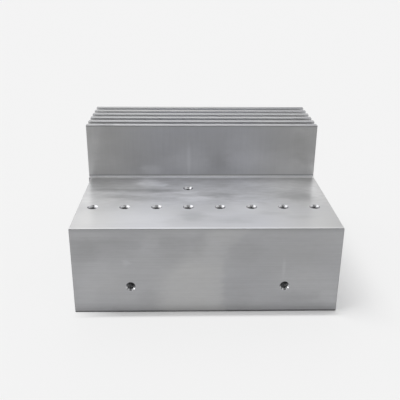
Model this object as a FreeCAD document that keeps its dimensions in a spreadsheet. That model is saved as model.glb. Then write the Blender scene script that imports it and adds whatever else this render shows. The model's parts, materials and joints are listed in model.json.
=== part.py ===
import FreeCAD, Part
import os
import Sketcher

# Skived fin heat sink, one piece of aluminium. Millimetres, +Z up, +Y from the front face to the back.
# The origin is the middle of the underside.

SIZES = {
    # The bar, and the block milled at its front, whose left side stands back a little from the bar's own
    "bar_width": 101.0,
    "bar_depth": 95.0,
    "base_height": 35.0,
    "ledge_depth": 56.0,
    "side_relief": 1.0,
    "relief_stop": 1.5,
    "edge_break": 0.2,
    # The fins, the first of them at the back of the ledge
    "fin_count": 6,
    "fin_pitch": 6.6,
    "fin_thickness": 3.0,
    "fin_height": 23.5,
    "root_front": 0.5,
    "root_rear": 0.4,
    "tip_break": 0.15,
    # The tapped holes: a row and one more in the ledge, and a pair in the front face
    "row_count": 8,
    "row_pitch": 12.5,
    "row_setback": 20.5,
    "single_setback": 41.0,
    "single_behind": 4,
    "ledge_sink": 4.2,
    "front_span": 58.0,
    "front_shift": 1.0,
    "front_level": 11.25,
    "front_sink": 3.7,
    "hole_depth": 12.0,
}
THREAD_SIZE = "M3x0.5"
SINK_ANGLE = 90.0
NEAR = 1e-4

doc = FreeCAD.newDocument("HeatSink")
body = doc.addObject("PartDesign::Body", "HeatSink")
body.Label = "heat_sink"


def make_sheet():
    """The driving dimensions, one named cell each."""
    sheet = doc.addObject("Spreadsheet::Sheet", "Sizes")
    for row, (alias, value) in enumerate(SIZES.items(), start=1):
        sheet.set(f"A{row}", alias)
        sheet.set(f"B{row}", str(value))
        sheet.setAlias(f"B{row}", alias)
    doc.recompute()


def bind(item, field, text):
    """Binds a field to an expression in which @name stands for the sheet's cell of that name."""
    item.setExpression(field, text.replace("@", "Sizes."))


def origin_part(role):
    """One of the body's own planes or axes."""
    return next(item for item in body.Origin.OriginFeatures if item.Role == role)


def make_sketch(name, plane, offset=None):
    """A sketch on an origin plane, or that far from it along its normal."""
    sketch = body.newObject("Sketcher::SketchObject", name)
    sketch.AttachmentSupport = [(origin_part(plane), "")]
    sketch.MapMode = "FlatFace"
    if offset:
        bind(sketch, "AttachmentOffset.Base.z", offset)
    return sketch


def place_point(sketch, name, geometry, point, across, up):
    """Holds a point of the sketch at two bound distances from the sketch's origin."""
    for direction, text in (("DistanceX", across), ("DistanceY", up)):
        constraint = Sketcher.Constraint(direction, -1, 1, geometry, point, 1.0)
        label = f"{name}_{direction}"
        sketch.renameConstraint(sketch.addConstraint(constraint), label)
        bind(sketch, f"Constraints.{label}", text)


def draw_polygon(sketch, corners):
    """A closed outline of straight lines through the named corners, each given as two expressions."""
    count = len(corners)
    for index in range(count):
        start = FreeCAD.Vector(index, index * index, 0)
        end = FreeCAD.Vector(index + 1, (index + 1) ** 2, 0)
        sketch.addGeometry(Part.LineSegment(start, end))
    for index in range(count):
        sketch.addConstraint(Sketcher.Constraint("Coincident", index, 2, (index + 1) % count, 1))
    for index, (name, across, up) in enumerate(corners):
        place_point(sketch, name, index, 1, across, up)


def draw_circles(sketch, centres, diameter):
    """Circles of one bound diameter about the named centres."""
    for index, (name, across, up) in enumerate(centres):
        sketch.addGeometry(Part.Circle(FreeCAD.Vector(index, 0, 0), FreeCAD.Vector(0, 0, 1), 1.0))
        place_point(sketch, name, index, 3, across, up)
        label = f"{name}_size"
        sketch.renameConstraint(sketch.addConstraint(Sketcher.Constraint("Diameter", index, 2.0)), label)
        bind(sketch, f"Constraints.{label}", diameter)


def edge_names(feature, wanted):
    """The names of a feature's straight edges whose two end points pass the test."""
    names = []
    for number, edge in enumerate(feature.Shape.Edges, start=1):
        ends = [vertex.Point for vertex in edge.Vertexes]
        if len(ends) == 2 and wanted(*ends):
            names.append(f"Edge{number}")
    return names


def dress_edges(kind, name, feature, edges, field, text):
    """A fillet or a chamfer of a bound size along the named edges of a feature."""
    doc.recompute()
    dressed = body.newObject(kind, name)
    dressed.Base = (feature, edges)
    bind(dressed, field, text)
    doc.recompute()
    return dressed


def same(value, target):
    return abs(value - target) < NEAR


def make_base():
    """The bar's plan, stepped in at the left of the front block, raised to the ledge, with its edges broken.

    Gives back the bar before and after the cut that breaks the ledge's right edge.
    """
    front = "-@bar_depth / 2"
    back = "@bar_depth / 2"
    step = f"{front} + @ledge_depth - @relief_stop"
    left = "-@bar_width / 2"
    right = "@bar_width / 2"
    block_left = f"{left} + @side_relief"
    plan = make_sketch("BasePlan", "XY_Plane")
    draw_polygon(plan, [
        ("front_left", block_left, front),
        ("front_right", right, front),
        ("back_right", right, back),
        ("back_left", left, back),
        ("step_outer", left, step),
        ("step_inner", block_left, step),
    ])
    base = body.newObject("PartDesign::Pad", "Base")
    base.Profile = plan
    bind(base, "Length", "@base_height")
    doc.recompute()

    step_y = SIZES["ledge_depth"] - SIZES["relief_stop"] - SIZES["bar_depth"] / 2

    def is_broken(one, other):
        """Every edge but those of the step and the upper side edges that run on under the fins."""
        is_step = same(one.y, step_y) and same(other.y, step_y)
        is_upper_side = same(one.x, other.x) and same(one.z, other.z) and one.z > NEAR
        is_under_fins = is_upper_side and max(one.y, other.y) > step_y + NEAR
        return not (is_step or is_under_fins)

    edges = edge_names(base, is_broken)
    broken = dress_edges("PartDesign::Chamfer", "EdgeBreak", base, edges, "Size", "@edge_break")

    corner = make_sketch("LedgeCorner", "XZ_Plane", "@bar_depth / 2")
    draw_polygon(corner, [
        ("inner", f"{right} - @edge_break", "@base_height"),
        ("outer", right, "@base_height"),
        ("lower", right, "@base_height - @edge_break"),
    ])
    ledge_break = body.newObject("PartDesign::Pocket", "LedgeBreak")
    ledge_break.Profile = corner
    ledge_break.Reversed = False
    bind(ledge_break, "Length", "@ledge_depth - @relief_stop")
    doc.recompute()
    return broken, ledge_break


def make_fins():
    """One upright fin, repeated towards the back, with curved roots and broken tips."""
    section = make_sketch("FinSection", "YZ_Plane")
    face = "@ledge_depth - @bar_depth / 2"
    rear = f"{face} + @fin_thickness"
    tip = "@base_height + @fin_height"
    draw_polygon(section, [
        ("front_root", face, "@base_height"),
        ("rear_root", rear, "@base_height"),
        ("rear_tip", rear, tip),
        ("front_tip", face, tip),
    ])
    fin = body.newObject("PartDesign::Pad", "Fin")
    fin.Profile = section
    fin.SideType = "Symmetric"
    bind(fin, "Length", "@bar_width")
    doc.recompute()

    fins = body.newObject("PartDesign::LinearPattern", "Fins")
    fins.Originals = [fin]
    fins.Direction = (origin_part("Y_Axis"), [""])
    bind(fins, "Occurrences", "@fin_count")
    bind(fins, "Length", "@fin_pitch * (@fin_count - 1)")
    body.Tip = fins

    first = SIZES["ledge_depth"] - SIZES["bar_depth"] / 2
    faces = [first + SIZES["fin_pitch"] * index for index in range(SIZES["fin_count"])]
    rears = [face_y + SIZES["fin_thickness"] for face_y in faces]
    tip_level = SIZES["base_height"] + SIZES["fin_height"]

    def runs_at(one, other, places, level):
        is_level = same(one.z, level) and same(other.z, level)
        return is_level and same(one.y, other.y) and any(same(one.y, place) for place in places)

    doc.recompute()
    roots = edge_names(fins, lambda one, other: runs_at(one, other, faces, SIZES["base_height"]))
    finished = dress_edges("PartDesign::Fillet", "FrontRoots", fins, roots, "Radius", "@root_front")
    roots = edge_names(finished, lambda one, other: runs_at(one, other, rears, SIZES["base_height"]))
    finished = dress_edges("PartDesign::Fillet", "RearRoots", finished, roots, "Radius", "@root_rear")
    tips = edge_names(finished, lambda one, other: runs_at(one, other, faces + rears, tip_level))
    return dress_edges("PartDesign::Chamfer", "TipBreak", finished, tips, "Size", "@tip_break")


def tap_holes(name, sketch, sink):
    """Blind tapped holes with a pointed bottom and a countersunk mouth, at a sketch's circles."""
    doc.recompute()
    hole = body.newObject("PartDesign::Hole", name)
    hole.Profile = sketch
    hole.ThreadType = "ISOMetricProfile"
    hole.ThreadSize = THREAD_SIZE
    hole.Threaded = True
    hole.DepthType = "Dimension"
    hole.DrillPoint = "Angled"
    hole.HoleCutType = "Countersink"
    hole.HoleCutCustomValues = True
    hole.HoleCutCountersinkAngle = SINK_ANGLE
    bind(hole, "Depth", "@hole_depth")
    bind(hole, "HoleCutDiameter", sink)
    doc.recompute()
    return hole


def make_ledge_holes():
    """The row across the ledge, and the single hole straight behind one of the row."""
    first = "-@row_pitch * (@row_count - 1) / 2"
    front = "-@bar_depth / 2"
    start = make_sketch("RowStart", "XY_Plane", "@base_height")
    draw_circles(start, [("first", first, f"{front} + @row_setback")], "@ledge_sink")
    hole = tap_holes("RowHole", start, "@ledge_sink")
    row = body.newObject("PartDesign::LinearPattern", "Row")
    row.Originals = [hole]
    row.Direction = (origin_part("X_Axis"), [""])
    bind(row, "Occurrences", "@row_count")
    bind(row, "Length", "@row_pitch * (@row_count - 1)")
    body.Tip = row

    place = make_sketch("SinglePlace", "XY_Plane", "@base_height")
    across = f"{first} + @row_pitch * (@single_behind - 1)"
    draw_circles(place, [("single", across, f"{front} + @single_setback")], "@ledge_sink")
    return tap_holes("SingleHole", place, "@ledge_sink")


def make_front_holes():
    """The pair low in the front face."""
    places = make_sketch("FrontPlaces", "XZ_Plane", "@bar_depth / 2")
    draw_circles(places, [
        ("left", "@front_shift - @front_span / 2", "@front_level"),
        ("right", "@front_shift + @front_span / 2", "@front_level"),
    ], "@front_sink")
    return tap_holes("FrontHoles", places, "@front_sink")


def check_build(cuts):
    """Stops unless every object is sound and each cut took metal away."""
    for item in doc.Objects:
        if "Invalid" in item.State or "Error" in item.State:
            raise RuntimeError(f"{item.Name} failed: {item.State}")
    for before, after in cuts:
        if not after.Shape.Volume < before.Shape.Volume:
            raise RuntimeError(f"{after.Name} cut nothing")
    shape = body.Shape
    if shape.isNull() or not shape.isValid() or len(shape.Solids) != 1:
        raise RuntimeError("the heat sink is not one valid solid")


make_sheet()
bar, base = make_base()
fins = make_fins()
ledge_holes = make_ledge_holes()
front_holes = make_front_holes()
body.Tip = front_holes
doc.recompute()
check_build([(bar, base), (fins, ledge_holes), (ledge_holes, front_holes)])
os.makedirs("parts", exist_ok=True)
body.Shape.exportStep(f"parts/{body.Label}.step")
box = body.Shape.BoundBox
print(f"{body.Label}: {box.XLength:.2f} x {box.YLength:.2f} x {box.ZLength:.2f} mm, {body.Shape.Volume:.0f} mm3")
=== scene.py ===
"""Dresses the skived fin heat sink: bare machined aluminium, tapped holes, a pale floor, studio light."""
import bpy
import json
import math
from mathutils import Matrix, Vector
from types import SimpleNamespace


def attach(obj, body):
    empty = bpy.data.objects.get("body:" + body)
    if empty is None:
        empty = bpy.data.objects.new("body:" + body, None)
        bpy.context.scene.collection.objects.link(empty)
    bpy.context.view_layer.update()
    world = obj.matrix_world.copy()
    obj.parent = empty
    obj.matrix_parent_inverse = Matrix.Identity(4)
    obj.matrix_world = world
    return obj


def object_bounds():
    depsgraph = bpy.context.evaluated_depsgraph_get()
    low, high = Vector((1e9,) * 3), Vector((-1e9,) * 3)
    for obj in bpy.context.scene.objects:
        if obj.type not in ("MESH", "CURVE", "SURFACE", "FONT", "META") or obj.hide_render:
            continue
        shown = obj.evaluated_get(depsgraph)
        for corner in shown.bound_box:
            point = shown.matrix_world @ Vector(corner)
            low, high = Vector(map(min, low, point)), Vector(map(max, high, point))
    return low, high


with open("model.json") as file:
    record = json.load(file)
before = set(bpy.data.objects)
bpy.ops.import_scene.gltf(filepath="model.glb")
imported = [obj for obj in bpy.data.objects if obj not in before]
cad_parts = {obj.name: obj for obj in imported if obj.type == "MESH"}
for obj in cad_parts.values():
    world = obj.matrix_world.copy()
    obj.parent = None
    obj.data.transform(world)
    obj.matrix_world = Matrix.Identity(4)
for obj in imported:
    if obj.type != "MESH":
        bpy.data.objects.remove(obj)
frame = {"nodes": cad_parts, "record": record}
cad_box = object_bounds()

MM = 0.001
BODY = "root"
ALONG = (1.0, 0.0, 0.0)
INWARD = (0.0, 1.0, 0.0)
UPWARD = (0.0, 0.0, 1.0)
sink = frame["nodes"]["heat_sink"]
mounts = {mount["name"]: mount for mount in frame["record"]["mounts"]}


def place_of(name):
    """Where one of the record's mounts is, in millimetres."""
    return [value / MM for value in mounts[name]["pos_m"]]


# The part's own places, in millimetres, from the frame: its outer box, its ledge and its tapped holes
FRONT = cad_box[0][1] / MM
HALF_WIDTH = cad_box[1][0] / MM
HALF_DEPTH = cad_box[1][1] / MM
LEDGE_LEVEL = place_of("ledge")[2]
ROW_COUNT = 8
ROW_Y = place_of("row_holes_4_and_5")[1]
ROW_PITCH = mounts["row_holes_4_and_5"]["dims"]["spacing_x_mm"]
SINGLE_BEHIND_ROW = mounts["single_hole_and_row_hole_4"]["dims"]["spacing_y_mm"]
SINGLE_HOLE = (place_of("single_hole_and_row_hole_4")[0], ROW_Y + SINGLE_BEHIND_ROW)
FRONT_HALF_SPAN = mounts["front_holes"]["dims"]["spacing_x_mm"] / 2
FRONT_MIDDLE, _, FRONT_LEVEL = place_of("front_holes")
FRONT_HOLES = [(FRONT_MIDDLE + side * FRONT_HALF_SPAN, FRONT_LEVEL) for side in (-1, 1)]

# Sizes of the part, given in millimetres: the first fin's face, the holes' depth and mouth radii
FIN_FACE = 8.5
HOLE_DEPTH = 12.0
LEDGE_MOUTH = 2.1
FRONT_MOUTH = 1.85

# The threads: their pitch, radii and depths, the half widths of the ridge, its tapered ends and its steps
THREAD_PITCH = 0.5
THREAD_CREST = 1.08
THREAD_ROOT = 1.31
THREAD_START = 1.1
THREAD_END = 9.6
RIDGE_FOOT = 0.22
RIDGE_TOP = 0.04
TAPER_TURNS = 0.5
STEPS_PER_TURN = 20

# The camera, fitted to the photograph's 400 x 400 frame, in millimetres and degrees
CAMERA_PLACE = (-7.384, -236.895, 123.32)
CAMERA_YAW = 1.5554
CAMERA_PITCH = 22.1285
CAMERA_ROLL = 0.481
CAMERA_LENS = 52.029
SENSOR_WIDTH = 36.0
CLIP_NEAR = 10.0
CLIP_FAR = 20000.0

# The metal's finish: its tone, its roughness and how much more it blurs across the lines than along them
TONE = 0.54
ROUGHNESS = 0.42
ANISOTROPY = 1.0

# How squarely a surface looks along an axis to count as a face, and how little to count as a broken edge
FACE_BEGIN = 0.8
FACE_FULL = 0.95
BREAK_FULL = 0.85
BREAK_END = 0.98

# The fins begin this far above the ledge, and the gaps between them this far behind the first fin's face
FINS_ABOVE = 1.0
GAPS_BEHIND = 1.0

# What a noise is on average, so that it can be set about zero
NOISE_MIDDLE = 0.5

# Lines, smears and clouds in the metal: how each noise is drawn out over the part, and the noise itself
LINES_ALONG = (0.02, 1.0, 1.0)
LINES_ON_SIDE = (1.0, 0.02, 1.0)
LINES_ON_FIN = (0.6, 1.0, 0.03)
LINE_NOISE = {"scale": 2.2, "detail": 4.0, "roughness": 0.65}
SMEAR_STRETCH = (0.22, 0.55, 0.55)
SMEAR_NOISE = {"scale": 1.0, "detail": 4.0, "roughness": 0.6}
CLOUD_STRETCH = (0.7, 1.0, 1.0)
CLOUD_NOISE = {"scale": 0.06, "detail": 4.0, "roughness": 0.55}

# How strong they are in the tone, with what is added on the front face and on the ledge behind its row
LINE_SIZE = 0.12
LINE_ON_FRONT = 0.09
SMEAR_SIZE = 0.08
SMEAR_ON_FRONT = 0.06
SMEAR_BEHIND_ROW = 0.42
BEHIND_BEGIN = -30.0
BEHIND_FULL = -20.0
CLOUD_SIZE = 0.10
CLOUD_ON_FRONT = 0.10

# How strong they are in the roughness, and the relief of the lines, with its height in millimetres
SMEAR_ROUGHNESS = 0.4
CLOUD_ROUGHNESS = 0.10
RELIEF_STRENGTH = 0.25
RELIEF_HEIGHT = 0.02

# The faint blue tint: plain, less in the painted reflection on the front face, and on ledge and fins from
# the middle to the ends
PLAIN_TINT = 0.018
FIELD_TINT = -0.015
MIDDLE_TINT = 0.035
END_TINT = 0.005
TINT_BEGIN = 15.0
TINT_END = 45.0
CLOUD_TINT = 0.03
TINT_IN_RED_GREEN_BLUE = (-0.65, -0.35, 1.0)

# The finer finish in the countersinks, and the painted shade in the bores below them, with a radius for
# each kind of hole
SINK_ROUGHNESS = 0.17
ROW_BORE = 1.6
SINGLE_BORE = 1.3
FRONT_BORE = 1.45
BORE_SHADE = -0.55

# The fins' tips, darkened with painted shade, and the gaps between them, lightened with painted light:
# changes in tone, where the rear begins, and the lines' share
TIP_SHADE = -0.24
REAR_TIP_SHADE = -0.31
GAP_LIGHT = 0.38
REAR_GAP_LIGHT = 0.76
REAR_BEGIN = 18.0
REAR_FULL = 34.0
FIN_ROW_LINES = 0.3

# The painted highlight on the root of the first fin: where it begins, how far it goes above and below the
# ledge, its change
FOOT_BEGIN = 6.1
FOOT_FULL = 6.4
FOOT_RISE = 0.45
FOOT_DROP = 0.1
FOOT_HIGHLIGHT = 0.55

# Painted shade on the block's broken edges, which grows plain between these two depths below the ledge
EDGE_SHADE = -0.45
EDGE_DARK = 0.15
EDGE_PLAIN = 0.05

# Bands along the edges: where each begins, where it is full, and the change in tone; on the ledge a painted
# reflection of the first fin and a painted highlight along the front edge, and low on the front face
# painted shade from the contact with the floor
LEDGE_BANDS = {
    # painted reflection of the dark first fin in the ledge
    "dark band in front of the fins' foot": (-2.0, 6.0, -0.11),
    # painted highlight on the ledge's front edge
    "light line along the front edge": (-45.7, -46.6, 0.17),
}
FRONT_BANDS = {
    "dark line under the ledge": (33.2, 34.8, -0.13),
    # painted shade, the reflection of the contact shadow low on the front face
    "shade towards the floor": (5.0, 0.0, -0.24),
    # painted contact shade along the bottom edge
    "dark line at the floor": (0.95, 0.45, -0.45),
}
FIN_BANDS = {
    "dark line under the tip": (57.7, 58.1, -0.28),
}

# Soft patches, some of them smears and stains and some painted reflections, highlights and shade: two
# places on the face, two half sizes, and the change in tone
LEDGE_MARKS = {
    "wiped patch left of the single hole": (-24.6, 0.5, 5.4, 4.4, 0.36),
    "right lobe of the wiped patch": (-18.3, -2.4, 4.4, 2.2, 0.20),
    "dark smear under the wiped patch": (-36.0, -8.2, 12.0, 1.8, -0.20),
    "dark smear left of the single hole": (-19.0, -9.4, 9.5, 2.6, -0.30),
    "light smear by the first holes": (-41.5, -11.8, 7.5, 2.0, 0.18),
    "dark smear behind the second hole": (-33.5, -16.2, 9.0, 1.7, -0.18),
    "light smear in front of the single hole": (-7.0, -11.4, 5.0, 1.8, 0.24),
    "light smear behind the fourth hole": (-3.0, -18.0, 7.0, 2.8, 0.17),
    "dark smear right of the single hole": (6.5, -14.2, 8.5, 3.2, -0.20),
    "dull place behind that smear": (6.7, -3.0, 6.0, 4.0, -0.07),
    "light streak behind the sixth hole": (17.0, -14.9, 8.0, 1.4, 0.10),
    "dull field at the right": (39.5, -16.5, 8.5, 5.0, -0.16),
    "light field behind the dull one": (36.0, -2.8, 13.0, 8.0, 0.22),
    "light edge at the right": (46.5, -12.0, 3.0, 8.0, 0.10),
    "dark smear in front of the fourth hole": (-5.0, -36.0, 5.5, 4.5, -0.13),
    "light smear in front of the fifth hole": (6.5, -33.8, 8.5, 2.8, 0.06),
    "dark smear nearer the front": (10.0, -40.3, 9.0, 2.2, -0.07),
    "dark smear at the seventh hole": (26.5, -33.2, 6.0, 1.6, -0.08),
    "dark smear in front of the last hole": (36.0, -37.0, 6.5, 2.0, -0.07),
    # painted reflection, brighter towards the ledge's front left
    "bright corner at the front left": (-36.0, -38.3, 19.0, 10.0, 0.09),
    "dull place beside the wiped patch": (-12.0, -1.5, 4.0, 4.0, -0.11),
    "dull place behind the third hole": (-21.0, -18.6, 11.0, 3.5, -0.15),
    "light place near the foot": (20.0, -1.5, 6.0, 4.0, 0.12),
    "light place at the sixth hole": (16.0, -27.0, 8.0, 8.0, 0.10),
    "light place at the left edge": (-42.5, -20.5, 8.0, 7.5, 0.12),
    "dull place at the front edge": (-8.0, -42.0, 9.0, 5.0, -0.06),
    "dull middle": (5.0, -30.0, 20.0, 20.0, -0.11),
}
FRONT_MARKS = {
    "dark field right of the light one's upper end": (14.0, 26.0, 8.0, 6.5, -0.07),
    "dark field right of the light one": (11.5, 7.0, 7.0, 8.0, -0.06),
    "streaks along the upper left": (-40.0, 32.3, 11.0, 1.8, 0.06),
    "dark field at the left": (-45.0, 25.0, 6.0, 6.0, -0.08),
    "light field at the lower left": (-40.0, 16.0, 9.0, 8.0, 0.05),
    "light arc": (-20.3, 29.4, 3.6, 4.0, 0.06),
    "light spot": (-29.7, 21.2, 1.8, 1.7, 0.10),
    "dark smear at the top": (-2.1, 28.9, 3.0, 6.0, -0.08),
    "dark field right of the arc": (-11.5, 26.5, 9.0, 6.5, -0.08),
    "light field at the right": (38.0, 13.0, 15.0, 7.5, 0.08),
    "dull upper left": (-38.0, 27.5, 14.0, 6.0, -0.08),
    "dull strip along the top": (-26.0, 31.0, 22.0, 4.5, -0.06),
    "dull right half": (32.0, 19.0, 26.0, 20.0, -0.07),
    "dark smear under the right hole": (35.5, 6.3, 9.0, 2.4, -0.07),
    "light corner at the lower right": (47.5, 6.0, 3.5, 4.0, 0.06),
    "light corner at the lower left": (-45.0, 9.0, 5.0, 6.0, 0.05),
    "dark smear beside the left hole": (-21.0, 6.0, 5.0, 4.0, -0.06),
}
FIN_MARKS = {
    "dark smear low at the left": (-31.0, 41.5, 7.0, 5.0, -0.06),
    "light smear at the foot": (-22.8, 37.2, 5.0, 3.0, 0.16),
    "haze round the streak": (-4.0, 43.2, 10.0, 7.0, 0.10),
    "dark smear right of the streak": (8.0, 41.5, 4.0, 4.5, -0.07),
    "light haze at the right": (19.0, 47.0, 10.0, 9.0, 0.10),
    # painted shade over the floor's reflection at the fin's right end
    "dull upper end at the right": (50.5, 50.0, 9.0, 14.0, -0.17),
    "light lower part at the right": (30.0, 38.5, 23.0, 9.5, 0.24),
    "light lower end at the right": (44.0, 37.5, 10.0, 5.0, 0.12),
    "light lower part in the middle": (-9.0, 38.0, 15.0, 7.0, 0.15),
    "dull upper left": (-46.0, 56.0, 10.0, 5.0, -0.08),
    # painted shade over the floor's reflection at the fin's left end
    "dull end at the left": (-50.0, 48.0, 4.0, 12.0, -0.08),
    "light low part at the left": (-39.0, 38.0, 15.0, 8.0, 0.16),
}

# Marks with an even outline, in the same form: an upright light streak on the front, a painted reflection
# of the single hole on the first fin, and the worn edge on the first fin's tip
FRONT_STREAKS = {
    "run above the right hole": (29.3, 18.8, 0.7, 4.2, 0.09),
}
FIN_STREAKS = {
    # painted reflection of the single hole's countersink in the first fin
    "upright streak": (-5.9, 42.6, 0.9, 8.0, 0.12),
}
TIP_MARKS = {
    "rolled edge of the first fin": (-41.0, 8.6, 5.0, 1.3, -0.35),
    "bright end of the rolled edge": (-37.6, 10.0, 1.8, 1.4, 0.12),
}

# Where a mark stops being full and where it ends, in half sizes, and the noise that makes outlines uneven
MARK_FULL = 0.3
MARK_END = 1.35
DRIFT_STRETCH = (0.15, 0.4, 0.4)
DRIFT_REACH = (7.0, 4.0, 4.0)
DRIFT_DETAIL = 3.0

# The painted reflection low in the middle of the front face, a pale field which leans towards the upper
# right
FIELD_LEFT = -16.5
FIELD_SOFTNESS = 5.0
FIELD_LEAN = 0.95
FIELD_LOW = 14.0
FIELD_RIGHT = 6.3
FIELD_WITHIN_RIGHT = 1.0
FIELD_PAST_RIGHT = 2.0
FIELD_BEND = 20.0
FIELD_CURVE = 0.05
FIELD_FADE_BEGIN = 16.0
FIELD_FADE_END = 26.0
FIELD_TOP_SHARE = 0.5
FIELD_CHANGE = 0.10

# The floor: how far it reaches in metres, and its tone with a faint variation
FLOOR_REACH = 12.0
FLOOR_TONE = 0.93
FLOOR_NOISE = {"scale": 6.0, "detail": 2.0}
FLOOR_VARIATION = 0.02

# The even glow that takes the place of part of the floor, away from the part's contact and its shadow
FLOOR_GLOW = 0.895
GLOW_SHARE = 0.9
CONTACT_NEAR = 2.0
CONTACT_FAR = 4.1
CONTACT_WIDENING = 1.0
SHADOW_SHIFT = 12.0
SHADOW_NEAR = -9.0
SHADOW_FAR = 16.0

# Soft lights round the part: azimuth from the camera's side towards the right, elevation, spread and level
SOFT_LIGHTS = {
    "behind_low": (180.0, 20.0, 28.0, 1.86),
    "behind_high": (180.0, 50.0, 28.0, 1.45),
    "behind_left": (-135.0, 35.0, 45.0, 1.0),
    "behind_low_left": (-166.0, 22.0, 18.0, 0.5),
    "left_low": (-122.0, 24.0, 18.0, 1.5),
    "key": (-98.0, 41.0, 20.0, 2.1),
    "key_high": (-70.0, 54.0, 18.0, 1.8),
    "left_front": (-69.0, 13.0, 20.0, 3.2),
    "front_left": (-45.0, 42.0, 20.0, 0.6),
    "front_low": (-8.0, 15.0, 22.0, 0.70),
    "front_right": (70.0, 48.0, 26.0, 1.25),
    "front_right_low": (20.0, 18.0, 20.0, 0.68),
    "right_back": (108.0, 34.0, 22.0, 1.0),
    "behind_right": (145.0, 33.0, 32.0, 0.8),
    "overhead": (90.0, 88.0, 20.0, 2.7),
}

# The share of a light's spread over which it is full, the room's grey and level, and the pale horizon
CORE_SHARE = 0.3
ROOM_GREY = (0.8, 0.8, 0.8, 1.0)
ROOM_LEVEL = 0.2
HORIZON_LEVEL = 0.92
HORIZON_FULL = 0.10
HORIZON_END = 0.22


class Graph:
    """A node tree with short calls that add a node, feed it sockets or constants, and return its output."""

    def __init__(self, tree):
        self.tree = tree
        self.tree.nodes.clear()

    def node(self, kind, **settings):
        made = self.tree.nodes.new(kind)
        for name, value in settings.items():
            setattr(made, name, value)
        return made

    def feed(self, socket, value):
        if isinstance(value, bpy.types.NodeSocket):
            self.tree.links.new(value, socket)
        else:
            socket.default_value = value

    def math(self, operation, *values):
        made = self.node("ShaderNodeMath", operation=operation)
        for socket, value in zip(made.inputs, values):
            self.feed(socket, value)
        return made.outputs[0]

    def add(self, first, *others):
        for other in others:
            first = self.math("ADD", first, other)
        return first

    def minus(self, first, other):
        return self.math("SUBTRACT", first, other)

    def times(self, first, *others):
        for other in others:
            first = self.math("MULTIPLY", first, other)
        return first

    def most(self, first, *others):
        for other in others:
            first = self.math("MAXIMUM", first, other)
        return first

    def vector(self, operation, *values):
        made = self.node("ShaderNodeVectorMath", operation=operation)
        for socket, value in zip(made.inputs, values):
            self.feed(socket, value)
        return made.outputs["Value" if operation in ("LENGTH", "DOT_PRODUCT") else "Vector"]

    def split(self, vector):
        made = self.node("ShaderNodeSeparateXYZ")
        self.feed(made.inputs[0], vector)
        return made.outputs

    def join(self, x, y, z):
        made = self.node("ShaderNodeCombineXYZ")
        for socket, value in zip(made.inputs, (x, y, z)):
            self.feed(socket, value)
        return made.outputs[0]

    def step(self, value, low, high, to_low=0.0, to_high=1.0):
        """A smooth step from to_low to to_high as the value goes from low to high."""
        made = self.node("ShaderNodeMapRange", interpolation_type="SMOOTHSTEP")
        for socket, given in zip(made.inputs, (value, low, high, to_low, to_high)):
            self.feed(socket, given)
        return made.outputs[0]

    def mix(self, share, first, second):
        """Two vectors mixed by a share of the second."""
        made = self.node("ShaderNodeMix", data_type="VECTOR")
        sockets = [socket for socket in made.inputs if socket.enabled]
        for socket, value in zip(sockets, (share, first, second)):
            self.feed(socket, value)
        return next(socket for socket in made.outputs if socket.enabled)

    def noise(self, vector, scale, detail, roughness=0.5):
        """Noise about zero, within about a half either way."""
        made = self.node("ShaderNodeTexNoise")
        self.feed(made.inputs["Vector"], vector)
        self.feed(made.inputs["Scale"], scale)
        self.feed(made.inputs["Detail"], detail)
        self.feed(made.inputs["Roughness"], roughness)
        return self.minus(made.outputs["Fac"], NOISE_MIDDLE)

    def drift(self, vector):
        """Three noises at once about zero, as a vector."""
        made = self.node("ShaderNodeTexNoise")
        self.feed(made.inputs["Vector"], vector)
        self.feed(made.inputs["Scale"], 1.0)
        self.feed(made.inputs["Detail"], DRIFT_DETAIL)
        return self.vector("SUBTRACT", made.outputs["Color"], (NOISE_MIDDLE,) * 3)


def in_millimetres(graph, position):
    """A place in metres, turned into millimetres."""
    return graph.vector("MULTIPLY", position, (1 / MM, 1 / MM, 1 / MM))


def add_marks(graph, first, second, marks):
    """The change in tone that a face's soft patches make at two coordinates on it."""
    total = 0.0
    for across, along, half_across, half_along, change in marks.values():
        offset = graph.join(graph.minus(first, across), graph.minus(second, along), 0.0)
        spread = graph.vector("MULTIPLY", offset, (1 / half_across, 1 / half_along, 0.0))
        patch = graph.step(graph.vector("LENGTH", spread), MARK_FULL, MARK_END, change, 0.0)
        total = graph.add(patch, total)
    return total


def add_bands(graph, place, bands):
    """The change in tone that bands across one coordinate make at a place."""
    total = 0.0
    for begin, full, change in bands.values():
        total = graph.add(graph.step(place, begin, full, 0.0, change), total)
    return total


def painted_reflection_field(graph, across, level):
    """The pale field of painted reflection on the front face: soft at its left, and ending at its right in
    a curve.
    """
    rise = graph.most(graph.minus(level, FIELD_LOW), 0.0)
    left = graph.math("MULTIPLY_ADD", rise, FIELD_LEAN, FIELD_LEFT)
    rise = graph.most(graph.minus(level, FIELD_BEND), 0.0)
    right = graph.math("MULTIPLY_ADD", graph.times(rise, rise), FIELD_CURVE, FIELD_RIGHT)
    begun = graph.step(graph.minus(across, left), -FIELD_SOFTNESS, FIELD_SOFTNESS)
    ended = graph.step(graph.minus(right, across), -FIELD_PAST_RIGHT, FIELD_WITHIN_RIGHT)
    fading = graph.step(level, FIELD_FADE_BEGIN, FIELD_FADE_END, 1.0, FIELD_TOP_SHARE)
    return graph.times(begun, ended, fading)


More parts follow.
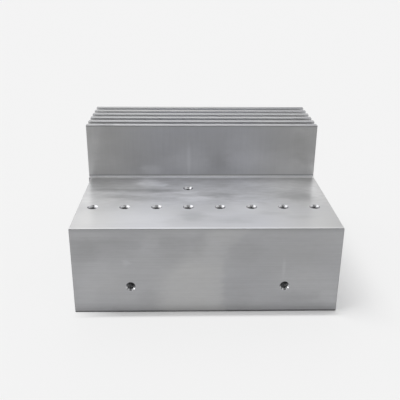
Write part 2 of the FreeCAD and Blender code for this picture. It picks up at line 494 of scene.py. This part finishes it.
def tapped_holes(graph, place, row_radius, single_radius, front_radius):
    """Nought, but one within a radius of the holes' axes, and the way a turned line runs there."""
    x, y, z = graph.split(place)
    wrapped = graph.math("WRAP", x, ROW_PITCH, 0.0)
    row = graph.join(graph.minus(wrapped, ROW_PITCH / 2), graph.minus(y, ROW_Y), 0.0)
    single = graph.vector("SUBTRACT", graph.join(x, y, 0.0), (*SINGLE_HOLE, 0.0))
    is_upper = graph.math("GREATER_THAN", z, LEDGE_LEVEL - HOLE_DEPTH)
    is_forward = graph.math("LESS_THAN", y, FRONT + HOLE_DEPTH)
    holes = [(row, row_radius, is_upper, UPWARD), (single, single_radius, is_upper, UPWARD)]
    for across, level in FRONT_HOLES:
        offset = graph.vector("SUBTRACT", graph.join(x, 0.0, z), (across, 0.0, level))
        holes.append((offset, front_radius, is_forward, INWARD))
    share = 0.0
    turning = (0.0, 0.0, 0.0)
    for offset, radius, is_near, axis in holes:
        inside = graph.times(graph.math("LESS_THAN", graph.vector("LENGTH", offset), radius), is_near)
        share = graph.add(inside, share)
        around = graph.vector("CROSS_PRODUCT", offset, axis)
        around = graph.vector("MULTIPLY", around, graph.join(inside, inside, inside))
        turning = graph.vector("ADD", around, turning)
    return share, turning


def find_faces(graph, place, normal):
    """The faces of the part that a point may be on, each as a share from nought to one."""
    _, y, z = graph.split(place)
    size_x, size_y, size_z = graph.split(graph.vector("ABSOLUTE", normal))
    _, facing_y, facing_z = graph.split(normal)
    is_front = graph.step(facing_y, -FACE_FULL, -FACE_BEGIN, 1.0, 0.0)
    is_up = graph.step(facing_z, FACE_BEGIN, FACE_FULL)
    is_high = graph.math("GREATER_THAN", z, LEDGE_LEVEL + FINS_ABOVE)
    is_low = graph.minus(1.0, is_high)
    on_fin = graph.times(is_front, is_high)
    is_behind = graph.math("GREATER_THAN", y, FIN_FACE + GAPS_BEHIND)
    squareness = graph.most(size_x, size_y, size_z)
    sunk, turning = tapped_holes(graph, place, LEDGE_MOUTH, LEDGE_MOUTH, FRONT_MOUTH)
    bored, _ = tapped_holes(graph, place, ROW_BORE, SINGLE_BORE, FRONT_BORE)
    broken = graph.times(graph.step(squareness, BREAK_FULL, BREAK_END, 1.0, 0.0), graph.minus(1.0, sunk))
    under_ledge = graph.step(z, LEDGE_LEVEL - EDGE_DARK, LEDGE_LEVEL - EDGE_PLAIN, 1.0, 0.0)
    return SimpleNamespace(
        side=graph.step(size_x, FACE_BEGIN, FACE_FULL),
        ledge=graph.times(is_up, is_low),
        front=graph.times(is_front, is_low),
        fin=on_fin,
        tip=graph.times(is_up, is_high),
        gap=graph.times(on_fin, is_behind),
        edge=graph.times(broken, is_low, under_ledge),
        sunk=sunk,
        bored=bored,
        turning=turning,
    )


def first_foot(graph, place):
    """The root of the first fin, where it meets the ledge, which gets a painted highlight."""
    _, y, z = graph.split(place)
    return graph.times(
        graph.step(y, FOOT_BEGIN, FOOT_FULL),
        graph.math("LESS_THAN", y, FIN_FACE),
        graph.math("LESS_THAN", z, LEDGE_LEVEL + FOOT_RISE),
        graph.math("GREATER_THAN", z, LEDGE_LEVEL - FOOT_DROP),
    )


def machined_lines(graph, place, faces):
    """Fine lines: along the bar on most faces, from front to back on its sides, and upright on the fins."""
    drawn = graph.vector("MULTIPLY", place, LINES_ALONG)
    drawn = graph.mix(faces.side, drawn, graph.vector("MULTIPLY", place, LINES_ON_SIDE))
    drawn = graph.mix(faces.fin, drawn, graph.vector("MULTIPLY", place, LINES_ON_FIN))
    return graph.noise(drawn, **LINE_NOISE)


def smears(graph, place, faces):
    """Smears, strongest on the ledge behind its row of holes."""
    _, y, _ = graph.split(place)
    behind_row = graph.times(faces.ledge, graph.step(y, BEHIND_BEGIN, BEHIND_FULL))
    on_ledge = graph.times(behind_row, SMEAR_BEHIND_ROW)
    size = graph.add(SMEAR_SIZE, on_ledge, graph.times(faces.front, SMEAR_ON_FRONT))
    smear = graph.noise(graph.vector("MULTIPLY", place, SMEAR_STRETCH), **SMEAR_NOISE)
    return graph.times(smear, size)


def blur_direction(graph, normal, faces):
    """The way in which reflections blur most: across the lines, which are turned in a countersink."""
    tangent = graph.vector("CROSS_PRODUCT", normal, ALONG)
    tangent = graph.mix(faces.side, tangent, UPWARD)
    return graph.mix(faces.sunk, tangent, graph.vector("CROSS_PRODUCT", normal, faces.turning))


def marks_and_painted_light(graph, place, faces):
    """The change in tone from smears, stains and painted reflections, highlights and shade, and the share
    of the painted reflection field at that place.
    """
    x, y, z = graph.split(place)
    drift = graph.drift(graph.vector("MULTIPLY", place, DRIFT_STRETCH))
    bent = graph.vector("ADD", place, graph.vector("MULTIPLY", drift, DRIFT_REACH))
    bent_x, bent_y, bent_z = graph.split(bent)
    field = graph.times(faces.front, painted_reflection_field(graph, bent_x, bent_z))
    marks = graph.add(
        graph.times(faces.ledge, add_marks(graph, bent_x, bent_y, LEDGE_MARKS)),
        graph.times(faces.front, add_marks(graph, bent_x, bent_z, FRONT_MARKS)),
        graph.times(faces.front, add_marks(graph, x, z, FRONT_STREAKS)),
        graph.times(faces.fin, add_marks(graph, bent_x, bent_z, FIN_MARKS)),
        graph.times(faces.fin, add_marks(graph, x, z, FIN_STREAKS)),
        graph.times(faces.tip, add_marks(graph, x, y, TIP_MARKS)),
        # the painted reflection on the front face
        graph.times(field, FIELD_CHANGE),
    )
    return marks, field


def edge_tones(graph, place, faces):
    """The change in tone along the edges, in the bores and in the row of fins, mostly painted highlights,
    reflections and shade.
    """
    _, y, z = graph.split(place)
    return graph.add(
        graph.times(faces.ledge, add_bands(graph, y, LEDGE_BANDS)),
        graph.times(faces.front, add_bands(graph, z, FRONT_BANDS)),
        graph.times(faces.fin, add_bands(graph, z, FIN_BANDS)),
        # painted highlight on the first fin's root
        graph.times(first_foot(graph, place), FOOT_HIGHLIGHT),
        # painted shade on the broken edges
        graph.times(faces.edge, EDGE_SHADE),
        # painted shade in the bores
        graph.times(faces.bored, BORE_SHADE),
        # painted shade on the tips, and painted light in the gaps between the fins
        graph.times(faces.tip, graph.step(y, REAR_BEGIN, REAR_FULL, TIP_SHADE, REAR_TIP_SHADE)),
        graph.times(faces.gap, graph.step(y, REAR_BEGIN, REAR_FULL, GAP_LIGHT, REAR_GAP_LIGHT)),
    )


def tinted(graph, place, faces, tone, field, cloud):
    """A tone as a colour, with a faint blue tint that is strongest in the middle of ledge and fins."""
    x, _, _ = graph.split(place)
    plain = graph.math("MULTIPLY_ADD", field, FIELD_TINT, PLAIN_TINT)
    middle = graph.step(graph.math("ABSOLUTE", x), TINT_BEGIN, TINT_END, MIDDLE_TINT, END_TINT)
    inner = graph.times(graph.most(faces.ledge, faces.fin), graph.minus(middle, plain))
    tint = graph.add(plain, inner, graph.times(cloud, CLOUD_TINT))
    channels = []
    for share in TINT_IN_RED_GREEN_BLUE:
        channels.append(graph.times(tone, graph.math("MULTIPLY_ADD", tint, share, 1.0)))
    return graph.join(*channels)


def bare_aluminium():
    """Machined aluminium with lines, smears, stains and painted reflections, highlights and shade, and a
    finer finish in countersinks.
    """
    material = bpy.data.materials.new("bare_aluminium")
    material.use_nodes = True
    graph = Graph(material.node_tree)
    place = in_millimetres(graph, graph.node("ShaderNodeTexCoord").outputs["Object"])
    normal = graph.node("ShaderNodeNewGeometry").outputs["Normal"]
    faces = find_faces(graph, place, normal)

    lines = machined_lines(graph, place, faces)
    smear = smears(graph, place, faces)
    cloud = graph.noise(graph.vector("MULTIPLY", place, CLOUD_STRETCH), **CLOUD_NOISE)
    line_size = graph.add(LINE_SIZE, graph.times(faces.front, LINE_ON_FRONT))
    cloud_size = graph.add(CLOUD_SIZE, graph.times(faces.front, CLOUD_ON_FRONT))
    texture = graph.add(graph.times(lines, line_size), smear, graph.times(cloud, cloud_size))
    in_fin_row = graph.most(faces.tip, faces.gap)
    texture = graph.times(texture, graph.math("MULTIPLY_ADD", in_fin_row, FIN_ROW_LINES - 1.0, 1.0))
    marks, field = marks_and_painted_light(graph, place, faces)
    tone = graph.times(graph.add(texture, marks, edge_tones(graph, place, faces), 1.0), TONE)

    rough = graph.add(ROUGHNESS, graph.times(cloud, CLOUD_ROUGHNESS), graph.times(smear, SMEAR_ROUGHNESS))
    finer = graph.times(graph.minus(rough, SINK_ROUGHNESS), faces.sunk)
    relief = graph.node("ShaderNodeBump")
    relief.inputs["Strength"].default_value = RELIEF_STRENGTH
    relief.inputs["Distance"].default_value = RELIEF_HEIGHT * MM
    graph.feed(relief.inputs["Height"], lines)

    shader = graph.node("ShaderNodeBsdfPrincipled")
    shader.inputs["Metallic"].default_value = 1.0
    shader.inputs["Anisotropic"].default_value = ANISOTROPY
    graph.feed(shader.inputs["Base Color"], tinted(graph, place, faces, tone, field, cloud))
    graph.feed(shader.inputs["Roughness"], graph.minus(rough, finer))
    graph.feed(shader.inputs["Tangent"], blur_direction(graph, normal, faces))
    graph.feed(shader.inputs["Normal"], relief.outputs[0])
    output = graph.node("ShaderNodeOutputMaterial")
    graph.feed(output.inputs["Surface"], shader.outputs[0])
    return material


def open_floor(graph, position):
    """One on the open floor, and nought in the part's contact and in its shadow at the right."""
    x, y, _ = graph.split(in_millimetres(graph, position))
    from_shade = graph.minus(graph.math("ABSOLUTE", graph.minus(x, SHADOW_SHIFT)), HALF_WIDTH)
    from_part = graph.minus(graph.math("ABSOLUTE", y), HALF_DEPTH)
    beside = graph.most(graph.minus(graph.math("ABSOLUTE", x), HALF_WIDTH), 0.0)
    near = graph.math("MULTIPLY_ADD", beside, -CONTACT_WIDENING, CONTACT_NEAR)
    far = graph.math("MULTIPLY_ADD", beside, CONTACT_WIDENING, CONTACT_FAR)
    return graph.most(graph.step(from_shade, SHADOW_NEAR, SHADOW_FAR), graph.step(from_part, near, far))


def floor_paint():
    """Matt white, part of it glowing evenly to the camera and to reflections, so that shadows stay pale."""
    material = bpy.data.materials.new("pale_floor")
    material.use_nodes = True
    graph = Graph(material.node_tree)
    position = graph.node("ShaderNodeTexCoord").outputs["Object"]
    variation = graph.times(graph.noise(position, **FLOOR_NOISE), FLOOR_VARIATION)
    tone = graph.add(FLOOR_TONE, variation)
    matt = graph.node("ShaderNodeBsdfDiffuse")
    graph.feed(matt.inputs["Color"], graph.join(tone, tone, tone))
    glow = graph.node("ShaderNodeEmission")
    glow.inputs["Strength"].default_value = FLOOR_GLOW
    rays = graph.node("ShaderNodeLightPath").outputs
    seen = graph.most(rays["Is Camera Ray"], rays["Is Glossy Ray"], rays["Is Transmission Ray"])
    blend = graph.node("ShaderNodeMixShader")
    graph.feed(blend.inputs[0], graph.times(seen, open_floor(graph, position), GLOW_SHARE))
    graph.feed(blend.inputs[1], matt.outputs[0])
    graph.feed(blend.inputs[2], glow.outputs[0])
    output = graph.node("ShaderNodeOutputMaterial")
    graph.feed(output.inputs["Surface"], blend.outputs[0])
    return material


def make_floor():
    """A wide flat floor under the part."""
    reach = FLOOR_REACH
    mesh = bpy.data.meshes.new("floor")
    corners = [(-reach, -reach, 0), (reach, -reach, 0), (reach, reach, 0), (-reach, reach, 0)]
    mesh.from_pydata(corners, [], [(0, 1, 2, 3)])
    mesh.materials.append(floor_paint())
    floor = bpy.data.objects.new("floor", mesh)
    bpy.context.scene.collection.objects.link(floor)


def aim_of(azimuth, elevation):
    """The direction towards a light, from its azimuth and elevation in degrees."""
    turn = math.radians(azimuth)
    rise = math.radians(elevation)
    return (math.sin(turn) * math.cos(rise), -math.cos(turn) * math.cos(rise), math.sin(rise))


def make_world():
    """A dim room with soft lights round and over the part, and pale all round near the floor."""
    world = bpy.data.worlds.new("studio")
    bpy.context.scene.world = world
    world.use_nodes = True
    graph = Graph(world.node_tree)
    direction = graph.node("ShaderNodeTexCoord").outputs["Generated"]
    level = ROOM_LEVEL
    for azimuth, elevation, spread, strength in SOFT_LIGHTS.values():
        near = graph.vector("DOT_PRODUCT", direction, aim_of(azimuth, elevation))
        edge = math.cos(math.radians(spread))
        core = math.cos(math.radians(spread * CORE_SHARE))
        level = graph.add(graph.step(near, edge, core, 0.0, strength), level)
    _, _, rise = graph.split(direction)
    horizon = graph.step(rise, HORIZON_FULL, HORIZON_END, HORIZON_LEVEL, 0.0)
    shader = graph.node("ShaderNodeBackground")
    shader.inputs["Color"].default_value = ROOM_GREY
    graph.feed(shader.inputs["Strength"], graph.add(level, horizon))
    output = graph.node("ShaderNodeOutputWorld")
    graph.feed(output.inputs["Surface"], shader.outputs[0])


def make_camera():
    """The photograph's view."""
    data = bpy.data.cameras.new("camera")
    data.lens = CAMERA_LENS
    data.sensor_width = SENSOR_WIDTH
    data.clip_start = CLIP_NEAR * MM
    data.clip_end = CLIP_FAR * MM
    camera = bpy.data.objects.new("camera", data)
    bpy.context.scene.collection.objects.link(camera)
    yaw = Matrix.Rotation(math.radians(-CAMERA_YAW), 4, "Z")
    pitch = Matrix.Rotation(math.radians(90.0 - CAMERA_PITCH), 4, "X")
    roll = Matrix.Rotation(math.radians(CAMERA_ROLL), 4, "Z")
    camera.matrix_world = Matrix.Translation(Vector(CAMERA_PLACE) * MM) @ yaw @ pitch @ roll
    bpy.context.scene.camera = camera


def ridge_section(crest):
    """The corners of a thread's section: each a radius and a place along the hole, from foot to foot."""
    return ((THREAD_ROOT, -RIDGE_FOOT), (crest, -RIDGE_TOP), (crest, RIDGE_TOP), (THREAD_ROOT, RIDGE_FOOT))


def thread_ridge(points, faces, mouth, inward):
    """One hole's thread: a ridge with sloping flanks that winds down the wall, tapered at both ends."""
    side = Vector(ALONG)
    other = inward.cross(side)
    count = int((THREAD_END - THREAD_START) / THREAD_PITCH * STEPS_PER_TURN)
    corners = len(ridge_section(THREAD_CREST))
    first = len(points)
    for index in range(count + 1):
        turn = index / STEPS_PER_TURN
        turns_left = (count - index) / STEPS_PER_TURN
        angle = 2 * math.pi * turn
        outward = math.cos(angle) * side + math.sin(angle) * other
        middle = mouth + inward * (THREAD_START + THREAD_PITCH * turn)
        grown = min(1.0, turn / TAPER_TURNS, turns_left / TAPER_TURNS)
        for radius, rise in ridge_section(THREAD_ROOT + (THREAD_CREST - THREAD_ROOT) * grown):
            points.append((middle + outward * radius + inward * rise) * MM)
    for index in range(count):
        here = first + corners * index
        for corner in range(corners):
            after = (corner + 1) % corners
            faces.append((here + corner, here + after, here + corners + after, here + corners + corner))
    last = first + corners * count
    faces.append(tuple(reversed(range(first, first + corners))))
    faces.append(tuple(range(last, last + corners)))


def make_threads(material):
    """The threads of the eleven tapped holes, one piece."""
    points = []
    faces = []
    row_start = -ROW_PITCH * (ROW_COUNT - 1) / 2
    spots = [(row_start + ROW_PITCH * index, ROW_Y) for index in range(ROW_COUNT)]
    for spot in spots + [SINGLE_HOLE]:
        thread_ridge(points, faces, Vector((*spot, LEDGE_LEVEL)), -Vector(UPWARD))
    for across, level in FRONT_HOLES:
        thread_ridge(points, faces, Vector((across, FRONT, level)), Vector(INWARD))
    mesh = bpy.data.meshes.new("threads")
    mesh.from_pydata(points, [], faces)
    mesh.materials.append(material)
    threads = bpy.data.objects.new("threads", mesh)
    bpy.context.scene.collection.objects.link(threads)
    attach(threads, BODY)


aluminium = bare_aluminium()
sink.data.materials.clear()
sink.data.materials.append(aluminium)
make_threads(aluminium)
make_floor()
make_world()
make_camera()
bpy.context.scene.view_settings.view_transform = "Standard"
